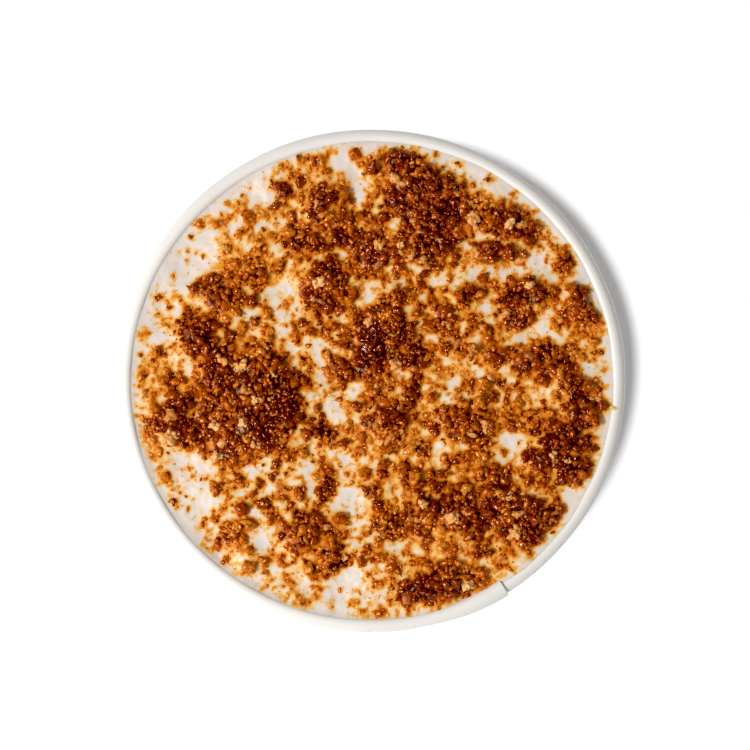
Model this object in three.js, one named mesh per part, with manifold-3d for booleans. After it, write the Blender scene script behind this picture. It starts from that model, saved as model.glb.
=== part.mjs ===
import * as THREE from 'three';
import { mergeVertices } from 'three/addons/utils/BufferGeometryUtils.js';
import Module from 'manifold-3d';

// A single-serving paper cup, full to the rim with custard cream and strewn with burnt sugar.
// Millimetres, +Z up. The origin is on the floor under the middle of the cup, +X and +Y are the
// right and the top of the cup as it is seen from straight above.

const wasm = await Module();
wasm.setup();

const degrees = THREE.MathUtils.degToRad;

// The cup
const rimDiameter = 90;
const footDiameter = 74;
const cupHeight = 60;
const paper = 0.4;
const fitGap = 0.3;
const outOfRound = 0.004;
const roundSteps = 64;

// The rolled rim: an oval, tilted down and outwards, that stops short of the wall again
const curlLong = 1.25;
const curlShort = 0.98;
const curlTilt = degrees(-30);
const curlEnd = degrees(-100);
const curlStepsShown = 9;
const curlStepsHidden = 5;

// The side seam, where the paper overlaps itself
const seamAngle = degrees(302.6);
const lapWidth = 7.5;
const lapRise = 0.45;
const lapFull = degrees(3);
const lapFade = degrees(24);
const lapEdge = degrees(0.25);

// The foot: the wall is folded up inside the base's flange
const baseHeight = 6.2;
const flangeBottom = 0.7;
const hemHeight = 5.6;
const foldRadius = 0.4;
const baseCorner = 1;

// The cream: its surface is level with the rim at the right and a little lower at the left
const creamLevel = 59.5;
const creamTilt = 0.15;
const creamTiltToward = degrees(20);
const creamRing = 5;
const creamSteps = 48;
const creamCorner = 1.5;
const rippleHeight = 0.12;
const rippleLength = 17;
const rippleSkew = 0.4;
const heapFade = 4;

// The sugar: x, y and spread of each thick drift, and of each patch that is left bare
const driftHeight = 0.85;
const drifts = [
  [9, 32, 6.5], [5, 24, 5], [-8, 18, 4.5], [3, 9, 5.5], [16, 14, 4], [-25, 14, 4], [-31, 8, 4],
  [-20, 2, 5.5], [-21, -7, 6.5], [-34, -8, 4], [-12, -28, 4.5], [-22, -32, 3], [3, -8, 4.5],
  [17, -8, 5], [35, -1, 4], [34, -13, 5.5], [13, -22, 5], [25, -25, 6], [13, -37, 4.5],
  [24, 28, 4.5], [28, 15, 4], [37, 15, 3], [-9, 32, 4],
];
const bareDepth = 0.35;
const bareSpots = [
  [-34, 22, 5], [-38, 12, 4], [-21, 34, 3], [-3, 36, 2.4], [-15, 16, 3], [-15, 7, 3], [6, 18, 2],
  [24, 20, 3], [28, 8, 2.2], [-7, 0, 2.5], [26, -14, 3.5], [-33, -15, 3.5], [-32, -23, 3.5],
  [-10, -18, 2.5], [-4, -15, 2], [-3, -22, 3], [-28, -29, 2.5], [-13, -36, 3], [-5, -37, 3.5],
  [34, -21, 3], [19, 38, 4],
];

// Pale crumbs of sugar that did not melt: x, y and size
const paleCrumbs = [
  [-23, 2.5, 2.6], [18, 28.5, 2.8], [1, 24, 2], [7, 22, 1.8], [18.5, 23, 1.8], [-0.5, 10.5, 2],
  [4, 3, 2.2], [-36, -10, 3], [-28, -8, 2.2], [-27.5, -13.5, 2.2], [14.5, -24.5, 2.8],
  [-9.5, 17.5, 2.5], [20, -8, 2.2], [-21, -3.5, 2], [25.5, -27, 3],
];
const burntGrains = 250;
const largestGrain = 3;
const smallestGrain = 1.5;
const blockyBelow = 2.1;
const blockySwell = 1.15;
const grainSunk = 0.2;
const grainFlatness = 0.82;
const grainRoughness = 0.3;
const grainSpacing = 0.56;
const looseGrains = 0.18;
const bareGrains = 0.6;
const sugarEdge = 0.9;

// Random draws: a seed, and the factor, step and range of the rule that makes the next one
const drawSeed = 20731;
const drawFactor = 1664525;
const drawShift = 1013904223;
const drawRange = 4294967296;

const sameSpot = 1e-4;

const rimRadius = rimDiameter / 2;
const footRadius = footDiameter / 2;
const curlHalfWidth = Math.hypot(curlLong * Math.cos(curlTilt), curlShort * Math.sin(curlTilt));
const curlHalfHeight = Math.hypot(curlLong * Math.sin(curlTilt), curlShort * Math.cos(curlTilt));
const curlCentre = new THREE.Vector2(rimRadius - curlHalfWidth, cupHeight - curlHalfHeight);
const mouthRadius = rimRadius - 2 * curlHalfWidth;
const wallLean = Math.atan2(mouthRadius - footRadius + paper, cupHeight);
const seamLap = lapWidth / rimRadius;

function smooth(t) {
  const s = THREE.MathUtils.clamp(t, 0, 1);
  return s * s * (3 - 2 * s);
}

function curlPoint(angle, inset) {
  const point = new THREE.Vector2(
    (curlLong - inset) * Math.cos(angle),
    (curlShort - inset) * Math.sin(angle)
  );
  return point.rotateAround(new THREE.Vector2(), curlTilt).add(curlCentre);
}

// The angle on the oval at which the straight wall runs into it
function curlStart(inset) {
  const inward = new THREE.Vector2(-Math.cos(wallLean), Math.sin(wallLean));
  inward.rotateAround(new THREE.Vector2(), -curlTilt);
  const angle = Math.atan2((curlShort - inset) * inward.y, (curlLong - inset) * inward.x);
  return angle + 2 * Math.PI;
}

const innerTop = curlPoint(curlStart(0), 0);
const outerTop = curlPoint(curlStart(paper), paper);

function wallInside(z) {
  return innerTop.x - (innerTop.y - z) * Math.tan(wallLean);
}

function wallOutside(z) {
  return outerTop.x - (outerTop.y - z) * Math.tan(wallLean);
}

// Layers at the foot, from the wall inwards: gap, flange of the base, gap, hem of the wall
function footLayer(z, gaps, sheets) {
  return wallInside(z) - gaps * fitGap - sheets * paper;
}

// How far the overlap stands out at an angle past its edge
function lapStep(past) {
  const turn = THREE.MathUtils.euclideanModulo(past, 2 * Math.PI);
  if (turn > lapFade) return 0;
  return lapRise * (1 - smooth((turn - lapFull) / (lapFade - lapFull)));
}

function roundness(angle, z) {
  return 1 + outOfRound * Math.cos(2 * angle) * z / cupHeight;
}

// A closed body from a lathe: normals dropped, shared vertices merged, empty triangles removed
function closedBody(geometry) {
  geometry.deleteAttribute('normal');
  geometry.deleteAttribute('uv');
  const merged = mergeVertices(geometry, sameSpot);
  const corners = merged.index.array;
  const kept = [];
  for (let i = 0; i < corners.length; i += 3) {
    const [a, b, c] = [corners[i], corners[i + 1], corners[i + 2]];
    if (a !== b && b !== c && c !== a) kept.push(a, b, c);
  }
  merged.setIndex(kept);
  return merged;
}

// Spins a profile of (radius, height) through the given angles, with each point moved by place
function turned(profile, angles, place) {
  const geometry = new THREE.LatheGeometry(profile, angles.length);
  const position = geometry.attributes.position;
  for (let i = 0; i <= angles.length; i++) {
    const angle = angles[i % angles.length];
    for (let j = 0; j < profile.length; j++) {
      const point = place(profile[j], angle, j);
      const x = point.x * Math.cos(angle);
      const y = point.x * Math.sin(angle);
      position.setXYZ(i * profile.length + j, x, y, point.y);
    }
  }
  return closedBody(geometry);
}

// Even steps round the cup, with a pair of close ones at each edge of the overlap
function wallAngles() {
  const past = [2 * Math.PI - lapEdge, 2 * Math.PI - seamLap, 2 * Math.PI - seamLap - lapEdge];
  for (let i = 0; i < roundSteps; i++) past.push(i * 2 * Math.PI / roundSteps);
  past.sort((a, b) => a - b);
  return past.map((turn) => seamAngle + turn);
}

function evenAngles(steps) {
  return Array.from({ length: steps }, (_, i) => i * 2 * Math.PI / steps);
}

function cupWall() {
  const profile = [];
  const side = [];
  function add(point, face) {
    profile.push(point);
    side.push(face);
  }
  const corner = foldRadius * (1 - Math.SQRT1_2);
  add(new THREE.Vector2(wallOutside(0) - foldRadius, 0), 'foot');
  add(new THREE.Vector2(wallOutside(corner) - corner, corner), 'outside');
  add(new THREE.Vector2(wallOutside(foldRadius), foldRadius), 'outside');
  const hiddenStart = curlStart(paper);
  for (let i = 0; i <= curlStepsHidden; i++) {
    const angle = THREE.MathUtils.lerp(hiddenStart, curlEnd, i / curlStepsHidden);
    add(curlPoint(angle, paper), i === 0 ? 'outside' : 'hidden');
  }
  const shownStart = curlStart(0);
  for (let i = 0; i <= curlStepsShown; i++) {
    const angle = THREE.MathUtils.lerp(curlEnd, shownStart, i / curlStepsShown);
    add(curlPoint(angle, 0), i === curlStepsShown ? 'inside' : 'shown');
  }
  add(new THREE.Vector2(wallInside(paper), paper), 'inside');
  add(new THREE.Vector2(footLayer(paper, 2, 1), paper), 'foot');
  add(new THREE.Vector2(footLayer(hemHeight, 2, 1), hemHeight), 'foot');
  add(new THREE.Vector2(footLayer(hemHeight, 2, 2), hemHeight), 'foot');
  add(new THREE.Vector2(footLayer(foldRadius, 2, 2), foldRadius), 'foot');
  add(new THREE.Vector2(footLayer(corner, 2, 2) + corner, corner), 'foot');
  add(new THREE.Vector2(footLayer(0, 2, 2) + foldRadius, 0), 'foot');
  add(profile[0].clone(), 'foot');

  return turned(profile, wallAngles(), (point, angle, j) => {
    const moved = point.clone();
    if (side[j] === 'outside') moved.x += lapStep(angle - seamAngle + seamLap + lapEdge / 2);
    if (side[j] === 'shown') {
      const outward = point.clone().sub(curlCentre).normalize();
      moved.addScaledVector(outward, lapStep(seamAngle - lapEdge / 2 - angle));
    }
    moved.x *= roundness(angle, point.y);
    return moved;
  });
}

function cupBase() {
  const top = baseHeight + paper;
  const inner = baseCorner - paper;
  const cut = baseCorner * (1 - Math.SQRT1_2);
  const profile = [
    new THREE.Vector2(0, baseHeight),
    new THREE.Vector2(footLayer(baseHeight, 1, 1) - inner, baseHeight),
    new THREE.Vector2(footLayer(baseHeight, 1, 1), baseHeight - inner),
    new THREE.Vector2(footLayer(flangeBottom, 1, 1), flangeBottom),
    new THREE.Vector2(footLayer(flangeBottom, 1, 0), flangeBottom),
    new THREE.Vector2(footLayer(top - baseCorner, 1, 0), top - baseCorner),
    new THREE.Vector2(footLayer(top, 1, 0) - cut, top - cut),
    new THREE.Vector2(footLayer(top, 1, 0) - baseCorner, top),
    new THREE.Vector2(0, top),
  ];
  return turned(profile, evenAngles(roundSteps), (point, angle) => {
    return new THREE.Vector2(point.x * roundness(angle, point.y), point.y - baseHeight);
  });
}

// A smooth mound of height 1 at each listed place, added up and kept under 1
function spread(places, x, y) {
  let sum = 0;
  for (const [placeX, placeY, size] of places) {
    const distance = Math.hypot(x - placeX, y - placeY);
    sum += Math.exp(-((distance / size) ** 2));
  }
  return Math.min(sum, 1);
}

function creamSurface(x, y) {
  const along = x * Math.cos(creamTiltToward) + y * Math.sin(creamTiltToward);
  const wave = 2 * Math.PI / rippleLength;
  const ripple = Math.sin(wave * (x + rippleSkew * y)) * Math.cos(wave * (y - rippleSkew * x));
  const heap = driftHeight * spread(drifts, x, y) - bareDepth * spread(bareSpots, x, y);
  const open = smooth((mouthRadius - Math.hypot(x, y)) / heapFade);
  return creamLevel + creamTilt * along / mouthRadius + rippleHeight * ripple + heap * open;
}

function creamBody(creamFloor) {
  const radiusAt = (z) => wallInside(z) - fitGap;
  const profile = [
    new THREE.Vector2(0, creamFloor),
    new THREE.Vector2(radiusAt(creamFloor) - creamCorner, creamFloor),
    new THREE.Vector2(radiusAt(creamFloor + creamCorner), creamFloor + creamCorner),
  ];
  const rings = Math.round(radiusAt(creamLevel) / creamRing);
  const surfaceStart = profile.length;
  for (let i = rings; i >= 0; i--) {
    profile.push(new THREE.Vector2(radiusAt(creamLevel) * i / rings, creamLevel));
  }
  return turned(profile, evenAngles(creamSteps), (point, angle, j) => {
    const radius = point.x * roundness(angle, point.y);
    if (j < surfaceStart) return new THREE.Vector2(radius, point.y - creamFloor);
    const height = creamSurface(radius * Math.cos(angle), radius * Math.sin(angle));
    return new THREE.Vector2(radius, height - creamFloor);
  });
}

// Seeded draws between 0 and 1
let drawState = drawSeed;
function draw() {
  drawState = (drawState * drawFactor + drawShift) % drawRange;
  return drawState / drawRange;
}

// Burnt grains, largest first, as thick as the drifts and bare patches say
function burntGrainPlaces() {
  const placed = paleCrumbs.map(([x, y, size]) => ({ x, y, size }));
  const total = burntGrains + paleCrumbs.length;
  const reach = mouthRadius - sugarEdge;
  while (placed.length < total) {
    const rank = (placed.length - paleCrumbs.length) / burntGrains;
    const size = THREE.MathUtils.lerp(largestGrain, smallestGrain, Math.sqrt(rank));
    const x = reach * (2 * draw() - 1);
    const y = reach * (2 * draw() - 1);
    const heaped = (1 - looseGrains) * spread(drifts, x, y);
    const chance = looseGrains + heaped - bareGrains * spread(bareSpots, x, y);
    const wanted = draw() < chance && Math.hypot(x, y) < reach - size / 2;
    const clear = placed.every((other) => {
      return Math.hypot(x - other.x, y - other.y) > grainSpacing * (size + other.size);
    });
    if (wanted && clear) placed.push({ x, y, size });
  }
  return placed;
}

// A large grain has twenty sides, a small one is a block of eight
function grainBody({ x, y, size }, creamFloor) {
  const blocky = size < blockyBelow;
  const geometry = closedBody(blocky
    ? new THREE.OctahedronGeometry(blockySwell * size / 2, 0)
    : new THREE.IcosahedronGeometry(size / 2, 0));
  const position = geometry.attributes.position;
  for (let i = 0; i < position.count; i++) {
    const scale = 1 + grainRoughness * (draw() - 0.5);
    position.setXYZ(i, position.getX(i) * scale, position.getY(i) * scale, position.getZ(i) * scale);
  }
  geometry.rotateX(draw() * Math.PI);
  geometry.rotateZ(draw() * 2 * Math.PI);
  geometry.scale(1, 1, grainFlatness);
  geometry.translate(x, y, creamSurface(x, y) + grainSunk * size - creamFloor);
  return geometry;
}

function toManifold(geometry) {
  const vertProperties = new Float32Array(geometry.attributes.position.array);
  const triVerts = new Uint32Array(geometry.index.array);
  return new wasm.Manifold(new wasm.Mesh({ numProp: 3, vertProperties, triVerts }));
}

function toGeometry(body) {
  const mesh = body.getMesh();
  const geometry = new THREE.BufferGeometry();
  geometry.setAttribute('position', new THREE.BufferAttribute(mesh.vertProperties, 3));
  geometry.setIndex(Array.from(mesh.triVerts));
  return geometry;
}

// The cream with its grains joined on, without sealed hollows or loose scraps
function sugaredCream(creamFloor) {
  let body = toManifold(creamBody(creamFloor));
  for (const grain of burntGrainPlaces()) {
    body = body.add(toManifold(grainBody(grain, creamFloor)));
  }
  const shells = body.decompose();
  shells.sort((a, b) => b.volume() - a.volume());
  return toGeometry(shells[0]);
}

function piece(name, geometry, height, color, roughness) {
  geometry.computeVertexNormals();
  const material = new THREE.MeshStandardMaterial({ color, roughness, metalness: 0 });
  const mesh = new THREE.Mesh(geometry, material);
  mesh.name = name;
  mesh.position.z = height;
  return mesh;
}

const creamFloor = baseHeight + paper + fitGap;
const group = new THREE.Group();
group.add(piece('cup_wall', cupWall(), 0, 0xf5f1ea, 0.75));
group.add(piece('cup_base', cupBase(), baseHeight, 0xf3efe8, 0.8));
group.add(piece('cream', sugaredCream(creamFloor), creamFloor, 0xb0672a, 0.4));

export default group;
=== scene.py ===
import math

import bmesh
import bpy
import numpy as np
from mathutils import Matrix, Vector, noise


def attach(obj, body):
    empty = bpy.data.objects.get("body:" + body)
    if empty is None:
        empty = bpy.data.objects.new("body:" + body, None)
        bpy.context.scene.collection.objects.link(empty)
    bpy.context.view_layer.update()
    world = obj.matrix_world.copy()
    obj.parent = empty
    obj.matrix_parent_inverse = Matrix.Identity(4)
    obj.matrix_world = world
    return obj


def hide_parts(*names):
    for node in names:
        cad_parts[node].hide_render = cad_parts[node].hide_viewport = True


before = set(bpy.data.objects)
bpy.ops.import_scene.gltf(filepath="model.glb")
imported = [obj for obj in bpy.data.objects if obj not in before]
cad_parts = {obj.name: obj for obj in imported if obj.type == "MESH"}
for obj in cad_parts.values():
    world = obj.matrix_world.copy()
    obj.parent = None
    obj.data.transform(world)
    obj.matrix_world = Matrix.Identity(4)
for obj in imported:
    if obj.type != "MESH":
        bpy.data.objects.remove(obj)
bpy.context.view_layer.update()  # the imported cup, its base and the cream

scene = bpy.context.scene
mm = 0.001

# Every length below is in millimetres and every angle in degrees, until a mesh is made.


def smooth(t, start=0, width=1):
    # rises softly from 0 to 1 over this width
    s = np.clip((t - start) / width, 0, 1)
    return s * s * (3 - 2 * s)


def linear(hexColour):
    # an sRGB hex colour as the linear one that a socket takes
    channels = [int(hexColour[i:i + 2], 16) / 255 for i in (0, 2, 4)]
    return [c / 12.92 if c <= 0.04045 else ((c + 0.055) / 1.055) ** 2.4 for c in channels] + [1]


def addNode(tree, kind, props=None, values=None, links=None):
    # a link's source is a socket, or a node for its first one
    node = tree.nodes.new(kind)
    for name, value in (props or {}).items():
        setattr(node, name, value)
    for socket, value in (values or {}).items():
        node.inputs[socket].default_value = value
    for socket, source in (links or {}).items():
        first = source.outputs[0] if isinstance(source, bpy.types.Node) else source
        tree.links.new(first, node.inputs[socket])
    return node


def mapValues(before, after):
    # what a Map Range node takes for these two ranges
    return {"From Min": before[0], "From Max": before[1], "To Min": after[0], "To Max": after[1]}


def startMaterial(name):
    material = bpy.data.materials.new(name)
    material.use_nodes = True
    material.node_tree.nodes.clear()
    return material, material.node_tree


def makePlainMaterial(name, surface):
    material, tree = startMaterial(name)
    shader = addNode(tree, "ShaderNodeBsdfPrincipled", values=surface)
    addNode(tree, "ShaderNodeOutputMaterial", links={"Surface": shader})
    return material


def setRamp(node, stops):
    ramp = node.color_ramp
    while len(ramp.elements) < len(stops):
        ramp.elements.new(0.5)
    for element, (position, hexColour) in zip(ramp.elements, stops):
        element.position = position
        element.color = linear(hexColour)


def addObject(name, data):
    thing = bpy.data.objects.new(name, data)
    scene.collection.objects.link(thing)
    return thing


def takeMesh(name, bm):
    mesh = bpy.data.meshes.new(name)
    bm.to_mesh(mesh)
    bm.free()
    mesh.polygons.foreach_set("use_smooth", [True] * len(mesh.polygons))
    return mesh


def addPiece(name, mesh, material):
    piece = addObject(name, mesh)
    piece.data.materials.append(material)
    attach(piece, "root")
    return piece


# Camera and light

view = {
    "rimPlane": 60,  # the photo's scale is taken at the rim
    "distance": 600,
    "frameWidth": 133.5,  # what the 750 pixels span at the rim
    "shiftX": 0.53,  # the cup stands a little left of and below the frame's centre
    "shiftY": 1.0,
    "sensor": 36,
    "farthest": 20000,
}

cameraData = bpy.data.cameras.new("photoCamera")
cameraData.sensor_width = view["sensor"]
cameraData.lens = view["sensor"] * view["distance"] / view["frameWidth"]
cameraData.clip_end = view["farthest"] * mm
camera = addObject("photoCamera", cameraData)
camera.location = Vector((view["shiftX"], view["shiftY"], view["rimPlane"] + view["distance"])) * mm
scene.camera = camera

light = {
    "turn": 203,  # the key stands at the left and slightly below
    "rise": 47,
    "keyAway": 900,
    "keySize": (420, 100),  # a long soft box, level
    "keyWatts": 6.9,
    "floorTurn": 199,
    "floorTilt": 6.3,  # the floor's own light, almost overhead and far away
    "floorAway": 6000,
    "floorSize": (250, 250),
    "floorWatts": 258,
    "skyColour": "fefdfc",
    "skyStrength": 0.5,
    "skyAbove": 0.6,  # the ceiling over the camera is darker than the walls
    "ceiling": (0.72, 0.92),  # how high in the sky it begins and is full, where 1 is overhead
    "skyBehind": 0.55,  # and the wall opposite the key is darker than the one beside it
    "skyBeside": 1.2,
    "floorHalf": 3000,
    "floorSurface": {"Base Color": linear("f7f7f8"), "Roughness": 0.9, "Specular IOR Level": 0.1},
    "blackPoint": 0.005,
}


def aimedLight(name, turn, rise, away, size, watts):
    data = bpy.data.lights.new(name, "AREA")
    data.shape = "ELLIPSE"
    data.size, data.size_y = size[0] * mm, size[1] * mm
    data.energy = watts
    lamp = addObject(name, data)
    flat = math.cos(math.radians(rise))
    toward = Vector((flat * math.cos(math.radians(turn)), flat * math.sin(math.radians(turn)),
                     math.sin(math.radians(rise))))
    lamp.location = (toward * away + Vector((0, 0, view["rimPlane"]))) * mm
    lamp.rotation_euler = toward.to_track_quat("Z", "Y").to_euler()
    return lamp


keyLamp = aimedLight("keyLight", light["turn"], light["rise"], light["keyAway"], light["keySize"],
                     light["keyWatts"])
floorLamp = aimedLight("floorLight", light["floorTurn"], 90 - light["floorTilt"], light["floorAway"],
                       light["floorSize"], light["floorWatts"])

world = bpy.data.worlds.new("studioWalls")
world.use_nodes = True
tree = world.node_tree
tree.nodes.clear()
direction = addNode(tree, "ShaderNodeTexCoord").outputs["Generated"]
upward = addNode(tree, "ShaderNodeSeparateXYZ", links={"Vector": direction}).outputs["Z"]
ceiling = addNode(tree, "ShaderNodeMapRange", values=mapValues(light["ceiling"], (1, light["skyAbove"])),
                  links={"Value": upward})
keySide = (math.cos(math.radians(light["turn"])), math.sin(math.radians(light["turn"])), 0)
across = addNode(tree, "ShaderNodeVectorMath", props={"operation": "DOT_PRODUCT"}, values={1: keySide},
                 links={0: direction}).outputs["Value"]
strengths = [light[side] * light["skyStrength"] for side in ("skyBehind", "skyBeside")]
walls = addNode(tree, "ShaderNodeMapRange", values=mapValues((-1, 1), strengths), links={"Value": across})
glow = addNode(tree, "ShaderNodeMath", props={"operation": "MULTIPLY"}, links={0: ceiling, 1: walls})
backdrop = addNode(tree, "ShaderNodeBackground", values={"Color": linear(light["skyColour"])},
                   links={"Strength": glow})
addNode(tree, "ShaderNodeOutputWorld", links={"Surface": backdrop})
world.cycles_visibility.glossy = False  # dark flags: only the key is mirrored
scene.world = world
scene.view_settings.view_transform = "Standard"
scene.view_settings.use_curve_mapping = True  # the photo's black point is set a little up
scene.view_settings.curve_mapping.black_level = [light["blackPoint"]] * 3
scene.view_settings.curve_mapping.update()

floorBm = bmesh.new()
bmesh.ops.create_grid(floorBm, x_segments=1, y_segments=1, size=light["floorHalf"] * mm)
floor = addObject("studioFloor", takeMesh("studioFloor", floorBm))
# matt white backdrop paper, which hardly shines
floor.data.materials.append(makePlainMaterial("mattWhiteBackdrop", light["floorSurface"]))

# the floor has a lamp of its own, nearly overhead, and takes no light from the key
floorOnly = bpy.data.collections.new("floorOnly")
floorOnly.objects.link(floor)
floorLamp.light_linking.receiver_collection = floorOnly
allButFloor = bpy.data.collections.new("allButFloor")
allButFloor.objects.link(floor)
allButFloor.collection_objects[0].light_linking.link_state = "EXCLUDE"
keyLamp.light_linking.receiver_collection = allButFloor
print("camera, lights and floor are set")


# The cup

cup = {
    "rim": 90,
    "foot": 74,
    "height": 60,
    "paper": 0.4,
    "gap": 0.3,
    "oval": 0.004,  # out of round by this share at the rim
    "curlLong": 1.25,  # the rolled rim is an oval, tilted down and outwards
    "curlShort": 0.98,
    "curlTilt": -30,
    "curlEnd": -100,
    "seam": 302.6,  # where the paper's inner edge lies on the rim
    "lap": 7.5,
    "lapRise": 0.45,
    "lapFull": 3,
    "lapFade": 24,
    "baseHeight": 6.2,
    "flangeBottom": 0.7,
    "hemHeight": 5.6,
    "fold": 0.4,
    "baseCorner": 1.0,
    "steps": 360,
    "edgeAngle": 0.1,
    "dentTurn": 270.6,  # a small nick in the bead
    "dentWidth": 0.7,
    "dentDepth": 0.16,
    "wobbles": ((3, 40, 0.05), (11, 0, 0.03)),  # waves round the bead, start and height of each
    "clearOfWall": 0.98,  # this share of the bead's width is out of the wall
    "slope": (204.4, 126.4),  # the bead's side towards the cream, from its innermost point up to its top
    "slopePoints": 60,
    "outsideRings": (12, 24, 36, 48),
    "insideRings": (40, 20),
    "baseRings": (12, 24),
    "foldPoints": 5,
    "hemPoints": 7,
    "curlPoints": (15, 33),  # on the hidden and on the shown side of the paper
    "cornerPoints": (6, 7),
    "baseSteps": 180,
    "sharpAngle": 38,
}

curlTurn = math.radians(cup["curlTilt"])
curlHalfWidth = math.hypot(cup["curlLong"] * math.cos(curlTurn), cup["curlShort"] * math.sin(curlTurn))
curlHalfHeight = math.hypot(cup["curlLong"] * math.sin(curlTurn), cup["curlShort"] * math.cos(curlTurn))
curlX = cup["rim"] / 2 - curlHalfWidth
curlZ = cup["height"] - curlHalfHeight
mouthRadius = cup["rim"] / 2 - 2 * curlHalfWidth
wallLean = math.atan2(mouthRadius - cup["foot"] / 2 + cup["paper"], cup["height"])


def curlPoint(angle, inset):
    along = (cup["curlLong"] - inset) * math.cos(angle)
    across = (cup["curlShort"] - inset) * math.sin(angle)
    return (curlX + along * math.cos(curlTurn) - across * math.sin(curlTurn),
            curlZ + along * math.sin(curlTurn) + across * math.cos(curlTurn))


def curlStart(inset):
    # where the straight wall runs into the oval
    inward = Vector((-math.cos(wallLean), math.sin(wallLean)))
    x = inward.x * math.cos(curlTurn) + inward.y * math.sin(curlTurn)
    y = -inward.x * math.sin(curlTurn) + inward.y * math.cos(curlTurn)
    return math.atan2((cup["curlShort"] - inset) * y, (cup["curlLong"] - inset) * x) + 2 * math.pi


def beadInside(z):
    # where the bead's inner slope lies at this height
    slope = [curlPoint(a, 0) for a in np.radians(np.linspace(*cup["slope"], cup["slopePoints"]))]
    return np.interp(z, [point[1] for point in slope], [point[0] for point in slope])


innerTop = curlPoint(curlStart(0), 0)
outerTop = curlPoint(curlStart(cup["paper"]), cup["paper"])


def wallInside(z):
    return innerTop[0] - (innerTop[1] - z) * math.tan(wallLean)


def wallOutside(z):
    return outerTop[0] - (outerTop[1] - z) * math.tan(wallLean)


def footLayer(z, gaps, sheets):
    # so many gaps and sheets of paper inside the wall
    return wallInside(z) - gaps * cup["gap"] - sheets * cup["paper"]


def arcPoints(centreX, centreZ, radius, fromAngle, toAngle, count):
    turns = np.radians(np.linspace(fromAngle, toAngle, count))
    return [(centreX + radius * math.cos(t), centreZ + radius * math.sin(t)) for t in turns]


def lapStep(past):
    # how far the overlap stands out, by the angle past its edge
    turn = np.mod(past, 360)
    fade = smooth((turn - cup["lapFull"]) / (cup["lapFade"] - cup["lapFull"]))
    return np.where(turn > cup["lapFade"], 0, cup["lapRise"] * (1 - fade))


def roundness(turn, z):
    return 1 + cup["oval"] * np.cos(2 * np.radians(turn)) * z / cup["height"]


def spinMesh(name, profile, startTurn, steps, closed):
    bm = bmesh.new()
    start = math.radians(startTurn)
    verts = [bm.verts.new((r * math.cos(start) * mm, r * math.sin(start) * mm, z * mm)) for r, z in profile]
    edges = [bm.edges.new(pair) for pair in zip(verts, verts[1:])]
    if closed:
        edges.append(bm.edges.new((verts[-1], verts[0])))
    bmesh.ops.spin(bm, geom=verts + edges, cent=(0, 0, 0), axis=(0, 0, 1), angle=2 * math.pi,
                   steps=steps, use_merge=True, use_duplicate=False)
    bmesh.ops.remove_doubles(bm, verts=bm.verts, dist=0.001 * mm)
    bmesh.ops.recalc_face_normals(bm, faces=bm.faces)
    return takeMesh(name, bm)


def readPoints(mesh):
    # the radius, the angle and the height of each point
    flat = np.empty(len(mesh.vertices) * 3)
    mesh.vertices.foreach_get("co", flat)
    x, y, z = flat.reshape(-1, 3).T / mm
    return np.hypot(x, y), np.degrees(np.arctan2(y, x)), z


def writePoints(mesh, radius, turn, z, sharpAngle):
    across = np.radians(turn)
    points = np.stack([radius * np.cos(across), radius * np.sin(across), z], axis=1) * mm
    mesh.vertices.foreach_set("co", points.ravel())
    mesh.set_sharp_from_angle(angle=math.radians(sharpAngle))
    mesh.update()


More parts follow.
